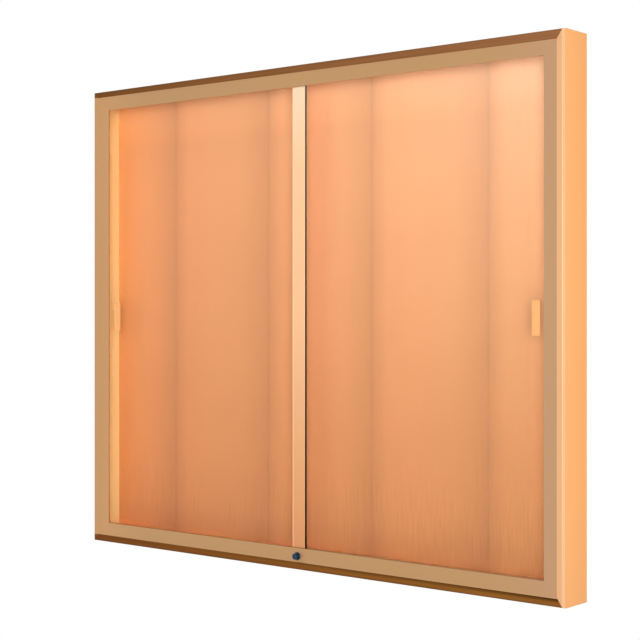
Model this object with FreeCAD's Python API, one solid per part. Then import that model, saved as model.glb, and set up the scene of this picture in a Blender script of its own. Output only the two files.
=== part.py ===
import FreeCAD, Part
import math
import os

from FreeCAD import Vector

# A wall-hung notice case with two sliding glass doors and a push lock, in millimetres.
# X runs to the right, Y runs back to the wall and Z runs up.
# The origin is the middle of the back face, where the case meets the wall.

# Overall size
case_width = 1200.0
case_height = 1000.0
case_depth = 80.0

# Frame extrusion: u is measured inwards from the outer side plane
skin = 2.0
chamber_width = 8.0
flat_width = 25.8
lip_width = 16.9
lip_rise = 6.0
ridge_radius = 2.0
ridge_inset = 3.4
shoulder_length = 12.0
return_depth = 0.6
key_leg = 70.0
key_depth = 32.0
key_clearance = 0.2
key_chamfer = 2.0

# Pinboard
fabric_thickness = 1.0
core_thickness = 10.0
sheet_thickness = 3.0
sheet_clearance = 0.5
core_inset = 8.5
back_screw_radius = 1.5
back_screw_head_radius = 2.5
back_screw_reach = 2.0
back_screw_inset = 5.5
back_screw_row_count = 3
back_screw_end = 100.0

# Wall hangers
hanger_spacing_x = 1000.0
hanger_spacing_z = 800.0
hanger_width = 70.0
hanger_height = 34.0
hanger_thickness = 1.5
hanger_window_width = 46.0
hanger_window_height = 26.0
hanger_pocket_margin = 1.0
hanger_well_floor = 1.0
keyhole_radius = 5.5
keyhole_slot_radius = 2.75
keyhole_drop = 12.0
rivet_radius = 2.0
rivet_head_radius = 3.0
rivet_head_height = 1.0
rivet_head_clearance = 0.2

# Doors
meeting_x = -7.0
glass_thickness = 4.0
door_wall = 1.3
door_setback = 4.0
door_gap = 1.0
door_end_gap = 3.0
door_overlap = 32.0
meeting_stile_width = 32.0
rear_stile_width = 19.0
glass_pocket = 9.0
glass_edge_gap = 0.5
stile_box_width = 11.0
rear_box_width = 6.0
stile_edge_radius = 0.6
stile_cap_height = 6.0
stile_cap_lid = 1.0
stile_top_gap = 6.0
stile_foot_height = 14.0
foot_screw_radius = 1.25
foot_screw_head_radius = 1.9
foot_screw_head_height = 1.2
foot_screw_length = 8.5

# Tracks
track_base = 1.5
track_rear_depth = 28.0
track_end_gap = 0.5
rib_width = 1.2
rib_height = 5.0
upstand_width = 1.5
upstand_height = 8.5
fin_width = 1.2
fin_height = 20.0
track_screw_radius = 1.5
track_screw_head_radius = 2.8
track_screw_head_height = 1.6
track_screw_length = 8.0
track_screw_count = 3
track_screw_end = 110.0

# Bottom shoes, wheels and guides
shoe_floor_gap = 1.5
skirt_height = 18.0
shoe_web = 1.5
glass_channel = 7.5
glazing_strip = 1.0
wheel_tread_radius = 4.5
wheel_rim_radius = 5.5
wheel_width = 3.4
wheel_groove = 1.8
wheel_rail_gap = 0.05
wheel_inset = 60.0
axle_radius = 1.5
axle_running_gap = 0.05
guide_length = 40.0
guide_inset = 20.0
guide_side_gap = 0.4
guide_lid = 1.2
guide_skirt = 12.0
guide_lift_gap = 5.3

# Finger pulls
pull_height = 63.0
pull_width = 17.0
pull_thickness = 1.6
pull_inset = 23.0
pull_corner = 3.0
pull_rim = 3.5
pull_dish_depth = 0.9
pull_edge = 0.4

# Seals and bumpers
pile_base_width = 5.0
pile_base_thickness = 1.0
pile_width = 2.6
pile_slot_gap = 0.2
pile_touch_gap = 0.3
pile_from_edge = 6.15
jamb_seal_width = 5.6
jamb_seal_gap = 0.8
jamb_seal_base = 0.9
bumper_width = 5.0
bumper_gap = 0.3
bumper_rib_gap = 1.5
bumper_edge = 0.8

# Push lock
lock_height = 26.5
plunger_radius = 6.0
plunger_gap = 0.05
plunger_recess = 3.0
plunger_chamfer = 0.8
lock_stroke = 9.8
lock_tip_gap = 0.4
collar_radius = 8.0
collar_height = 1.6
collar_edge = 0.5
sleeve_radius = 7.4
sleeve_hole_gap = 0.05
sleeve_door_gap = 0.8
ring_radius = 9.6
ring_thickness = 1.0
ring_mouth_angle = 50.0
bolt_hole_gap = 0.3
plug_radius = 3.5
plug_gap = 0.05
plug_length = 5.5
plug_recess = 0.2
key_slot_width = 0.9
key_slot_height = 4.2
key_slot_depth = 3.0

# Least length that counts when edges are picked
tolerance = 0.001

# Places that follow from the sizes above
half_x = case_width / 2
half_z = case_height / 2
face_y = lip_rise - case_depth
flange_back_y = face_y + skin
frame_section = lip_width + flat_width
inner_wall_u = 2 * skin + chamber_width
inner_x = half_x - inner_wall_u
inner_z = half_z - inner_wall_u
open_x = half_x - frame_section
sheet_y = -sheet_thickness
core_y = sheet_y - core_thickness
fabric_y = core_y - fabric_thickness
web_y = fabric_y - skin

door_depth = glass_thickness + 2 * door_wall
door_pitch = door_depth + door_gap
front_door_y = face_y + door_setback
rear_door_y = front_door_y + door_pitch

track_front_y = front_door_y + door_depth / 2 - door_pitch / 2 - fin_width / 2
track_rear_y = flange_back_y + track_rear_depth - skin
track_floor_z = track_base - inner_z
rib_top_z = track_floor_z + rib_height
wheel_z = rib_top_z + wheel_rail_gap + wheel_tread_radius
shoe_bottom_z = track_floor_z + shoe_floor_gap
skirt_top_z = shoe_bottom_z + skirt_height
channel_z = skirt_top_z + shoe_web
shoe_top_z = channel_z + glass_channel
track_ceiling_z = inner_z - track_base
fin_bottom_z = track_ceiling_z - fin_height
stile_top_z = fin_bottom_z - stile_top_gap
glass_bottom_z = channel_z + glazing_strip
glass_top_z = track_ceiling_z - guide_lift_gap - guide_lid
track_screw_y = (rear_door_y + door_depth + track_rear_y - upstand_width) / 2

rear_pull_y = rear_door_y + door_wall - pull_thickness
pile_end_y = min(rear_door_y, rear_pull_y) - pile_touch_gap

lock_z = lock_height - half_z
plunger_tip_y = front_door_y - lock_tip_gap
collar_front_y = face_y - collar_height
plunger_front_y = collar_front_y + plunger_recess - lock_stroke


def box(x0, x1, y0, y1, z0, z1):
    """A block between two corners."""
    return Part.makeBox(x1 - x0, y1 - y0, z1 - z0, Vector(x0, y0, z0))


def rod(radius, x, y0, y1, z):
    """A round bar along Y from y0 to y1."""
    return Part.makeCylinder(radius, y1 - y0, Vector(x, y0, z), Vector(0, 1, 0))


def post(radius, x, y, z0, z1):
    """A round bar along Z from z0 to z1."""
    return Part.makeCylinder(radius, z1 - z0, Vector(x, y, z0), Vector(0, 0, 1))


def joined(shapes):
    """One solid from pieces that overlap or share a face."""
    whole = shapes[0].multiFuse(shapes[1:])
    return whole.removeSplitter()


def cut_all(shape, tools):
    """A shape with every tool cut away."""
    return shape.cut(Part.makeCompound(tools))


def group(solids):
    """Several separate solids kept in one node."""
    return Part.makeCompound(solids)


def flat_edges(shape, axis):
    """Edges that lie in a plane square to an axis."""
    return [edge for edge in shape.Edges if getattr(edge.BoundBox, axis + "Length") < tolerance]


def slab(width, height, y0, y1, x, z):
    """A plate that faces Y, centred on x and z, with square corners."""
    return box(x - width / 2, x + width / 2, y0, y1, z - height / 2, z + height / 2)


def plate(width, height, y0, y1, x, z, corner):
    """A plate that faces Y, centred on x and z, with rounded corners."""
    body = slab(width, height, y0, y1, x, z)
    across = [edge for edge in body.Edges if edge.BoundBox.YLength > tolerance]
    return body.makeFillet(corner, across)


def turned(outline, x, z):
    """A solid turned about a line along Y through x and z, from an outline of radius and y pairs."""
    points = [Vector(x + radius, y, z) for radius, y in outline]
    face = Part.Face(Part.makePolygon(points + points[:1]))
    return face.revolve(Vector(x, 0, z), Vector(0, 1, 0), 360)


def spread(count, half_span):
    """Evenly spaced places from minus half_span to plus half_span."""
    step = 2 * half_span / (count - 1)
    return [step * index - half_span for index in range(count)]


# Frame bars

def facet_angle():
    """Slope of the lip's inner facet, from the crease to the round ridge."""
    run = lip_width - ridge_inset
    drop = lip_rise - ridge_radius
    return math.atan2(drop, run) + math.asin(ridge_radius / math.hypot(run, drop))


def frame_face():
    """Section of the extrusion in u and y, with its closed chamber."""
    slope = facet_angle()
    crease = Vector(lip_width, face_y, 0)
    ridge = Vector(ridge_inset, ridge_radius - case_depth, 0)
    shoulder_y = shoulder_length - case_depth
    rise = shoulder_y - ridge.y
    big = (ridge_inset ** 2 + rise ** 2 - ridge_radius ** 2) / (2 * (ridge_inset - ridge_radius))
    centre = Vector(big, shoulder_y, 0)
    towards = (ridge - centre).normalize()
    shoulder_start = Vector(0, shoulder_y, 0)
    shoulder_end = centre + towards * big
    shoulder_angle = math.atan2(-towards.y, -towards.x) / 2
    shoulder_mid = centre - Vector(math.cos(shoulder_angle), math.sin(shoulder_angle), 0) * big
    facet_start = ridge + Vector(math.sin(slope), -math.cos(slope), 0) * ridge_radius
    ridge_mid = ridge + (shoulder_end + facet_start - ridge * 2).normalize() * ridge_radius

    def behind_facet(u):
        return face_y - (lip_width - u) * math.tan(slope) + skin / math.cos(slope)

    inner_crease_u = lip_width + (flange_back_y - behind_facet(lip_width)) / math.tan(slope)
    edge_u = frame_section
    return_y = flange_back_y + return_depth
    straight = [
        crease,
        Vector(edge_u, face_y, 0),
        Vector(edge_u, return_y, 0),
        Vector(edge_u - skin, return_y, 0),
        Vector(edge_u - skin, flange_back_y, 0),
        Vector(inner_crease_u, flange_back_y, 0),
        Vector(inner_wall_u, behind_facet(inner_wall_u), 0),
        Vector(inner_wall_u, fabric_y, 0),
        Vector(skin, fabric_y, 0),
        Vector(skin, 0, 0),
        Vector(0, 0, 0),
        shoulder_start,
    ]
    edges = [
        Part.Arc(shoulder_start, shoulder_mid, shoulder_end).toShape(),
        Part.Arc(shoulder_end, ridge_mid, facet_start).toShape(),
        Part.makeLine(facet_start, crease),
    ]
    edges += [Part.makeLine(a, b) for a, b in zip(straight, straight[1:])]
    chamber_end = skin + chamber_width
    ridge_hollow = ridge_inset + ridge_radius * math.sin(slope)
    hollow = [
        Vector(skin, web_y, 0),
        Vector(chamber_end, web_y, 0),
        Vector(chamber_end, behind_facet(chamber_end), 0),
        Vector(ridge_hollow, behind_facet(ridge_hollow), 0),
        Vector(skin, shoulder_y, 0),
    ]
    outer = Part.Wire(Part.__sortEdges__(edges))
    inner = Part.makePolygon(hollow + hollow[:1])
    return Part.Face([outer, inner])


def frame_bar(length, distance, quarter_turns):
    """A mitred bar: the section runs along X, is cut at 45 degrees, then turned to its side of the case."""
    section = frame_face()
    upright = FreeCAD.Matrix(
        0, 0, 1, -length / 2,
        0, 1, 0, 0,
        -1, 0, 0, distance,
        0, 0, 0, 1,
    )
    section = section.transformGeometry(upright)
    bar = section.extrude(Vector(length, 0, 0))
    outer = distance
    inner = distance - frame_section
    reach = length / 2
    corners = [
        Vector(-reach, -case_depth, outer),
        Vector(reach, -case_depth, outer),
        Vector(reach - frame_section, -case_depth, inner),
        Vector(frame_section - reach, -case_depth, inner),
    ]
    mitre = Part.Face(Part.makePolygon(corners + corners[:1])).extrude(Vector(0, case_depth, 0))
    bar = bar.common(mitre)
    bar.rotate(Vector(0, 0, 0), Vector(0, 1, 0), 90 * quarter_turns)
    return bar


def back_screw_places():
    """Places of the screws that hold the back sheet to the rear web, as x and z pairs: a row above and a row
    below, and one at the middle of each side."""
    line_x = half_x - back_screw_inset
    line_z = half_z - back_screw_inset
    row = spread(back_screw_row_count, half_x - back_screw_end)
    places = [(x, side * line_z) for x in row for side in (-1, 1)]
    return places + [(side * line_x, 0) for side in (-1, 1)]


def track_screw_places():
    """Places along X of the screws of each track."""
    return spread(track_screw_count, half_x - track_screw_end)


def frame_bars():
    """The four bars, drilled for the board's screws, the tracks' screws and the lock."""
    sides = {
        "frame_top": (case_width, half_z, 0),
        "frame_right": (case_height, half_x, 1),
        "frame_bottom": (case_width, half_z, 2),
        "frame_left": (case_height, half_x, 3),
    }
    holes = [rod(back_screw_radius, x, web_y - skin, 0, z) for x, z in back_screw_places()]
    holes += track_screw_holes(inner_z - skin, inner_z + 2 * skin)
    holes += track_screw_holes(-inner_z - 2 * skin, skin - inner_z)
    holes.append(rod(sleeve_radius + sleeve_hole_gap, meeting_x, face_y - skin, flange_back_y + skin, lock_z))
    return {name: cut_all(frame_bar(*side), holes) for name, side in sides.items()}


def corner_keys():
    """An L-shaped key in the chamber at each corner, with chamfered leg ends."""
    near = skin + key_clearance
    far = skin + chamber_width - key_clearance
    tip = far - key_chamfer
    outline = [
        (near, near),
        (key_leg, near),
        (key_leg, tip),
        (key_leg - key_chamfer, far),
        (far, far),
        (far, key_leg - key_chamfer),
        (tip, key_leg),
        (near, key_leg),
    ]
    back_y = web_y - key_chamfer
    front_y = back_y - key_depth
    corners = {
        "top_left": (-1, 1),
        "top_right": (1, 1),
        "bottom_left": (-1, -1),
        "bottom_right": (1, -1),
    }
    keys = {}
    for name, (side_x, side_z) in corners.items():
        points = [Vector(side_x * (half_x - a), front_y, side_z * (half_z - b)) for a, b in outline]
        face = Part.Face(Part.makePolygon(points + points[:1]))
        keys["corner_key_" + name] = face.extrude(Vector(0, key_depth, 0))
    return keys


# Pinboard and back

def hanger_places():
    """Centres of the four wall hangers."""
    reach_x = hanger_spacing_x / 2
    reach_z = hanger_spacing_z / 2
    return [(x, z) for x in (-reach_x, reach_x) for z in (-reach_z, reach_z)]


def rivet_places():
    """Centres of the rivets at both ends of each hanger plate."""
    offset = (hanger_width + hanger_window_width) / 4
    return [(x + side * offset, z) for x, z in hanger_places() for side in (-1, 1)]


def board_layer(inset, y0, y1):
    """A layer of the board that begins at an inset from the case's outer sides."""
    return slab(case_width - 2 * inset, case_height - 2 * inset, y0, y1, 0, 0)


def pinboard():
    """Fabric facing, fibreboard core with hanger pockets, and back sheet with windows.
    The facing and the core end inside the line of the screws, which hold only the sheet."""
    pocket_y = sheet_y - hanger_thickness - rivet_head_height - rivet_head_clearance
    pockets = []
    windows = []
    for x, z in hanger_places():
        width = hanger_width + 2 * hanger_pocket_margin
        height = hanger_height + 2 * hanger_pocket_margin
        well_y = core_y + hanger_well_floor
        pockets.append(slab(width, height, pocket_y, sheet_y, x, z))
        pockets.append(slab(hanger_window_width, hanger_window_height, well_y, sheet_y, x, z))
        windows.append(slab(hanger_window_width, hanger_window_height, sheet_y, 0, x, z))
    windows += [rod(rivet_radius, x, sheet_y, 0, z) for x, z in rivet_places()]
    cone = back_screw_head_radius - back_screw_radius
    for x, z in back_screw_places():
        tip = Vector(x, -cone, z)
        windows.append(rod(back_screw_radius, x, sheet_y, 0, z))
        windows.append(Part.makeCone(back_screw_radius, back_screw_head_radius, cone, tip, Vector(0, 1, 0)))
    return {
        "pinboard_fabric": board_layer(core_inset, fabric_y, core_y),
        "pinboard_core": cut_all(board_layer(core_inset, core_y, sheet_y), pockets),
        "back_sheet": cut_all(board_layer(skin + sheet_clearance, sheet_y, 0), windows),
    }


def back_screws():
    """Countersunk screws, flush with the back sheet, into the rear web."""
    cone = back_screw_head_radius - back_screw_radius
    tip_y = web_y - back_screw_reach
    outline = [
        (0, tip_y), (back_screw_radius, tip_y), (back_screw_radius, -cone),
        (back_screw_head_radius, 0), (0, 0),
    ]
    return group([turned(outline, x, z) for x, z in back_screw_places()])


def hanger_plates():
    """Steel plates with a keyhole: the wall screw's head enters below and its shank slides up the slot."""
    plates = []
    for x, z in hanger_places():
        y0 = sheet_y - hanger_thickness
        body = slab(hanger_width, hanger_height, y0, sheet_y, x, z)
        entry_z = z - keyhole_drop / 2
        seat_z = z + keyhole_drop / 2
        tools = [
            rod(keyhole_radius, x, y0, sheet_y, entry_z),
            rod(keyhole_slot_radius, x, y0, sheet_y, seat_z),
            box(x - keyhole_slot_radius, x + keyhole_slot_radius, y0, sheet_y, entry_z, seat_z),
        ]
        tools += [rod(rivet_radius, a, y0, sheet_y, b) for a, b in rivet_places()]
        plates.append(cut_all(body, tools))
    return group(plates)


def hanger_rivets():
    """Rivets through the back sheet and the hanger plates."""
    head_y = sheet_y - hanger_thickness
    top_y = head_y - rivet_head_height
    outline = [
        (0, top_y), (rivet_head_radius, top_y), (rivet_head_radius, head_y),
        (rivet_radius, head_y), (rivet_radius, 0), (0, 0),
    ]
    return group([turned(outline, x, z) for x, z in rivet_places()])


# Tracks

def along_x(outline, x0, x1):
    """A bar along X from an outline of y and z pairs."""
    points = [Vector(x0, y, z) for y, z in outline]
    face = Part.Face(Part.makePolygon(points + points[:1]))
    return face.extrude(Vector(x1 - x0, 0, 0))


def door_centres():
    """Middle planes of the front door and of the rear door."""
    return (front_door_y + door_depth / 2, rear_door_y + door_depth / 2)


def track_screw_holes(z0, z1):
    """Holes for a track's screws between two heights."""
    return [post(track_screw_radius, x, track_screw_y, z0, z1) for x in track_screw_places()]


def lower_track():
    """Base plate with a running rib under each door and an upstand behind them."""
    end = inner_x - track_end_gap
    upstand_y = track_rear_y - upstand_width
    parts = [
        box(-end, end, track_front_y, track_rear_y, -inner_z, track_floor_z),
        box(-end, end, upstand_y, track_rear_y, -inner_z, track_floor_z + upstand_height),
    ]
    for y in door_centres():
        parts.append(box(-end, end, y - rib_width / 2, y + rib_width / 2, -inner_z, rib_top_z))
    return cut_all(joined(parts), track_screw_holes(-inner_z, track_floor_z))


def upper_track():
    """Base plate with three fins: the glass of each door runs between two of them."""
    end = inner_x - track_end_gap
    front, rear = door_centres()
    parts = [box(-end, end, track_front_y, track_rear_y, track_ceiling_z, inner_z)]
    for y in (front - door_pitch / 2, (front + rear) / 2, rear + door_pitch / 2):
        parts.append(box(-end, end, y - fin_width / 2, y + fin_width / 2, fin_bottom_z, inner_z))
    return cut_all(joined(parts), track_screw_holes(track_ceiling_z, inner_z))


def track_screws(surface_z, towards):
    """Cheese-head screws from a track's surface into the frame: towards is -1 for down and 1 for up."""
    screws = []
    into = Vector(0, 0, towards)
    for x in track_screw_places():
        base = Vector(x, track_screw_y, surface_z)
        head = Part.makeCylinder(track_screw_head_radius, track_screw_head_height, base, into * -1)
        shank = Part.makeCylinder(track_screw_radius, track_screw_length, base, into)
        screws.append(joined([head, shank]))
    return group(screws)


# Doors: side is -1 for the left door, which runs in front, and 1 for the right door behind it

def door_front(side):
    """Front plane of a door."""
    return front_door_y if side < 0 else rear_door_y


def door_ends(side):
    """Outer end and meeting end of a door along X. The doors overlap about the place where they meet."""
    return side * (inner_x - door_end_gap), meeting_x - side * door_overlap / 2


def travel(side):
    """How far a door slides until its meeting end reaches the other door's outer end."""
    return inner_x - door_end_gap - door_overlap / 2 + side * meeting_x


def span(a, b):
    """Two places in rising order."""
    return min(a, b), max(a, b)


def glass_ends(side):
    """Outer edge of a door's glass, and its edge in the pocket of the stile."""
    outer, meeting = door_ends(side)
    box_width = stile_box_width if side < 0 else rear_box_width
    return outer, meeting + side * (box_width + door_wall + glass_edge_gap)


def wheel_places(side):
    """Places along X of a door's two wheels."""
    outer, meeting = door_ends(side)
    return outer - side * wheel_inset, meeting + side * wheel_inset


def door_glass(side):
    """The pane."""
    x0, x1 = span(*glass_ends(side))
    y0 = door_front(side) + door_wall
    return box(x0, x1, y0, y0 + glass_thickness, glass_bottom_z, glass_top_z)


def door_shoe(side):
    """Bottom shoe: a channel for the glass above, an open skirt for the wheels below, and two places for the bolt.
    The bolt enters the first with the door closed, and the second with the door fully open."""
    x0, x1 = span(*door_ends(side))
    y0 = door_front(side)
    y1 = y0 + door_depth
    inside0 = y0 + door_wall
    inside1 = y1 - door_wall
    outline = [
        (y0, shoe_bottom_z), (inside0, shoe_bottom_z), (inside0, skirt_top_z), (inside1, skirt_top_z),
        (inside1, shoe_bottom_z), (y1, shoe_bottom_z), (y1, shoe_top_z), (inside1, shoe_top_z),
        (inside1, channel_z), (inside0, channel_z), (inside0, shoe_top_z), (y0, shoe_top_z),
    ]
    shoe = along_x(outline, x0, x1)
    holes = [rod(axle_radius, x, y0, y1, wheel_z) for x in wheel_places(side)]
    for x in (meeting_x, meeting_x + side * travel(side)):
        holes.append(rod(plunger_radius + bolt_hole_gap, x, y0, y1, lock_z))
    holes.append(post(foot_screw_radius, foot_screw_x(side), y0 + door_depth / 2, skirt_top_z, channel_z))
    return cut_all(shoe, holes)


def glazing(side):
    """Vinyl strip under the pane."""
    x0, x1 = span(*glass_ends(side))
    y0 = door_front(side) + door_wall
    return box(x0, x1, y0, y0 + glass_thickness, channel_z, glass_bottom_z)


def axles(side):
    """Pins through both walls of the shoe."""
    y0 = door_front(side)
    return group([rod(axle_radius, x, y0, y0 + door_depth, wheel_z) for x in wheel_places(side)])


def wheel(side, x):
    """Grooved wheel that runs on a rib."""
    y = door_front(side) + door_depth / 2
    half = wheel_width / 2
    groove = wheel_groove / 2
    bore = axle_radius + axle_running_gap
    outline = [
        (bore, y - half), (wheel_rim_radius, y - half), (wheel_tread_radius, y - groove),
        (wheel_tread_radius, y + groove), (wheel_rim_radius, y + half), (bore, y + half),
    ]
    return turned(outline, x, wheel_z)


def guides(side):
    """Nylon caps on the top edge of the pane, which run between the fins."""
    x0, x1 = span(*glass_ends(side))
    centre = door_front(side) + door_depth / 2
    half = (door_pitch - fin_width) / 2 - guide_side_gap
    half_glass = glass_thickness / 2
    bottom = glass_top_z - guide_skirt
    top = glass_top_z + guide_lid
    outline = [
        (centre - half, bottom), (centre - half_glass, bottom), (centre - half_glass, glass_top_z),
        (centre + half_glass, glass_top_z), (centre + half_glass, bottom), (centre + half, bottom),
        (centre + half, top), (centre - half, top),
    ]
    starts = (x0 + guide_inset, x1 - guide_inset - guide_length)
    return group([along_x(outline, start, start + guide_length) for start in starts])


def pull(side):
    """Finger pull: a thin plate on the glass with a dished face."""
    x = side * (open_x - pull_inset)
    y1 = door_front(side) + door_wall
    y0 = y1 - pull_thickness
    body = plate(pull_width, pull_height, y0, y1, x, 0, pull_corner)
    dish_width = pull_width - 2 * pull_rim
    dish_height = pull_height - 2 * pull_rim
    dish = plate(dish_width, dish_height, y0, y0 + pull_dish_depth, x, 0, dish_width / 2 - pull_edge)
    body = body.cut(dish)
    front = [edge for edge in flat_edges(body, "Y") if abs(edge.BoundBox.YMin - y0) < tolerance]
    return body.makeChamfer(pull_edge, front)


def along_z(outline, z0, z1):
    """A post along Z from an outline of x and y pairs."""
    points = [Vector(x, y, z0) for x, y in outline]
    face = Part.Face(Part.makePolygon(points + points[:1]))
    return face.extrude(Vector(0, 0, z1 - z0))


def stile(side):
    """Upright on a door's meeting end: a closed box at the end and a pocket for the edge of the glass."""
    meeting = door_ends(side)[1]
    width = meeting_stile_width if side < 0 else rear_stile_width
    box_width = stile_box_width if side < 0 else rear_box_width
    y0 = door_front(side)
    y1 = y0 + door_depth

    def place(distance):
        return meeting + side * distance

    back_reach = min(width, box_width + door_wall + glass_pocket)
    outline = [
        (place(0), y0), (place(width), y0), (place(width), y0 + door_wall),
        (place(box_width + door_wall), y0 + door_wall), (place(box_width + door_wall), y1 - door_wall),
        (place(back_reach), y1 - door_wall), (place(back_reach), y1), (place(0), y1),
    ]
    body = along_z(outline, shoe_top_z, stile_top_z)
    upright = [edge for edge in flat_edges(body, "Y") if edge.BoundBox.ZLength > tolerance]
    front = [edge for edge in upright if abs(edge.BoundBox.YMin - y0) < tolerance]
    body = body.makeFillet(stile_edge_radius, front)
    x0, x1 = span(place(door_wall), place(box_width))
    tools = [box(x0, x1, y0 + door_wall, y1 - door_wall, shoe_top_z, stile_top_z)]
    if side < 0:
        slot0, slot1 = span(place(pile_from_edge - pile_width / 2 - pile_slot_gap),
                            place(pile_from_edge + pile_width / 2 + pile_slot_gap))
        tools.append(box(slot0, slot1, y1 - door_wall, y1, shoe_top_z, stile_top_z))
    return cut_all(body, tools)


def stile_cap(side):
    """Nylon plug in the top of the stile's box, with a lid over the box."""
    meeting = door_ends(side)[1]
    box_width = stile_box_width if side < 0 else rear_box_width
    y0 = door_front(side)
    y1 = y0 + door_depth
    bottom = stile_top_z - stile_cap_height
    x0, x1 = span(meeting + side * door_wall, meeting + side * box_width)
    lid0, lid1 = span(meeting + side * stile_edge_radius, meeting + side * (box_width + door_wall))
    cap = joined([
        box(x0, x1, y0 + door_wall, y1 - door_wall, bottom, stile_top_z),
        box(lid0, lid1, y0 + stile_edge_radius, y1, stile_top_z, stile_top_z + stile_cap_lid),
    ])
    if side < 0:
        cap = cap.cut(pile_base(bottom, stile_top_z))
    return cap


def foot_screw_x(side):
    """Place along X of the screw in the middle of a stile's box."""
    meeting = door_ends(side)[1]
    box_width = stile_box_width if side < 0 else rear_box_width
    return meeting + side * (door_wall + box_width) / 2


def stile_foot(side):
    """Nylon block that fills the bottom of the stile's box and stands in the shoe's glass channel."""
    meeting = door_ends(side)[1]
    box_width = stile_box_width if side < 0 else rear_box_width
    x0, x1 = span(meeting + side * door_wall, meeting + side * box_width)
    y0 = door_front(side) + door_wall
    y1 = y0 + glass_thickness
    top = shoe_top_z + stile_foot_height
    tip_z = skirt_top_z + foot_screw_length
    block = box(x0, x1, y0, y1, channel_z, top)
    block = block.cut(post(foot_screw_radius, foot_screw_x(side), (y0 + y1) / 2, channel_z, tip_z))
    if side < 0:
        block = block.cut(pile_base(shoe_top_z, top))
    return block


def foot_screw(side):
    """Screw from under the shoe's web up into the stile's foot, which ties the stile to the shoe."""
    x = foot_screw_x(side)
    y = door_front(side) + door_depth / 2
    head = post(foot_screw_head_radius, x, y, skirt_top_z - foot_screw_head_height, skirt_top_z)
    shank = post(foot_screw_radius, x, y, skirt_top_z, skirt_top_z + foot_screw_length)
    return joined([head, shank])


def pile_span(width):
    """Ends along X of the meeting seal at a given width."""
    middle = door_ends(-1)[1] - pile_from_edge
    return middle - width / 2, middle + width / 2


def pile_base(z0, z1):
    """Base of the meeting seal between two heights, against the inside of the stile's back wall."""
    base0, base1 = pile_span(pile_base_width)
    back_y = front_door_y + door_depth - door_wall
    return box(base0, base1, back_y - pile_base_thickness, back_y, z0, z1)


def meeting_seal():
    """Pile seal in the slot at the back of the front door's stile: it closes the gap to the rear door."""
    pile0, pile1 = pile_span(pile_width)
    pile = box(pile0, pile1, front_door_y + door_depth - door_wall, pile_end_y, shoe_top_z, stile_top_z)
    return joined([pile_base(shoe_top_z, stile_top_z), pile])


def door_nodes(side, name):
    """Every piece of one door."""
    first, second = wheel_places(side)
    nodes = {
        name + "_glass": door_glass(side),
        name + "_shoe": door_shoe(side),
        name + "_glazing_strip": glazing(side),
        name + "_axles": axles(side),
        name + "_outer_wheel": wheel(side, first),
        name + "_meeting_wheel": wheel(side, second),
        name + "_top_guides": guides(side),
        name + "_finger_pull": pull(side),
        name + "_stile_cap": stile_cap(side),
        name + "_stile_foot": stile_foot(side),
        name + "_foot_screw": foot_screw(side),
    }
    nodes["left_meeting_stile" if side < 0 else "right_edge_stile"] = stile(side)
    return nodes


# Bumpers and jamb seals

def end_bumpers():
    """Rubber blocks on the side walls, one in each door's plane. They reach up to the top of the shoes' webs,
    above the notch for the bolt."""
    bottom = rib_top_z + bumper_rib_gap
    blocks = []
    for side in (-1, 1):
        for y in door_centres():
            x0, x1 = span(side * inner_x, side * (inner_x - door_end_gap + bumper_gap))
            block = box(x0, x1, y - bumper_width / 2, y + bumper_width / 2, bottom, channel_z)
            rim = [edge for edge in flat_edges(block, "X") if abs(edge.BoundBox.XMin) < inner_x - tolerance]
            blocks.append(block.makeChamfer(bumper_edge, rim))
    return group(blocks)


def jamb_seal(side):
    """Pile strip on the side wall where a door's glass closes, with a wider base."""
    y = door_front(side) + door_depth / 2
    wall = side * inner_x
    base0, base1 = span(wall, wall - side * jamb_seal_base)
    pile0, pile1 = span(wall - side * jamb_seal_base, wall - side * (door_end_gap - jamb_seal_gap))
    half = jamb_seal_width / 2
    half_pile = pile_width / 2
    top = stile_top_z - stile_top_gap
    base = box(base0, base1, y - half, y + half, shoe_top_z, top)
    pile = box(pile0, pile1, y - half_pile, y + half_pile, shoe_top_z, top)
    return joined([base, pile])


# Push lock

def lock_housing():
    """Collar on the face of the bottom bar, and a sleeve through it."""
    sleeve_end = front_door_y - sleeve_door_gap
    bore = plunger_radius + plunger_gap
    outline = [
        (bore, collar_front_y), (collar_radius - collar_edge, collar_front_y),
        (collar_radius, collar_front_y + collar_edge), (collar_radius, face_y),
        (sleeve_radius, face_y), (sleeve_radius, sleeve_end), (bore, sleeve_end),
    ]
    return turned(outline, meeting_x, lock_z)


def lock_ring():
    """Open spring ring that grips the sleeve behind the bar."""
    y1 = flange_back_y + ring_thickness
    ring = rod(ring_radius, meeting_x, flange_back_y, y1, lock_z)
    ring = ring.cut(rod(sleeve_radius, meeting_x, flange_back_y, y1, lock_z))
    half = math.radians(ring_mouth_angle / 2)
    reach = 2 * ring_radius
    mouth_x = reach * math.sin(half)
    mouth_z = lock_z + reach * math.cos(half)
    corners = [
        Vector(meeting_x, flange_back_y, lock_z),
        Vector(meeting_x + mouth_x, flange_back_y, mouth_z),
        Vector(meeting_x - mouth_x, flange_back_y, mouth_z),
    ]
    mouth = Part.Face(Part.makePolygon(corners + corners[:1])).extrude(Vector(0, ring_thickness, 0))
    return ring.cut(mouth)


def lock_plunger():
    """Sliding bolt: pushed in, it passes through the front door's shoe and into the rear door's."""
    outline = [
        (0, plunger_front_y + plug_length),
        (plug_radius + plug_gap, plunger_front_y + plug_length),
        (plug_radius + plug_gap, plunger_front_y),
        (plunger_radius, plunger_front_y),
        (plunger_radius, plunger_tip_y - plunger_chamfer),
        (plunger_radius - plunger_chamfer, plunger_tip_y),
        (0, plunger_tip_y),
    ]
    return turned(outline, meeting_x, lock_z)


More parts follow.
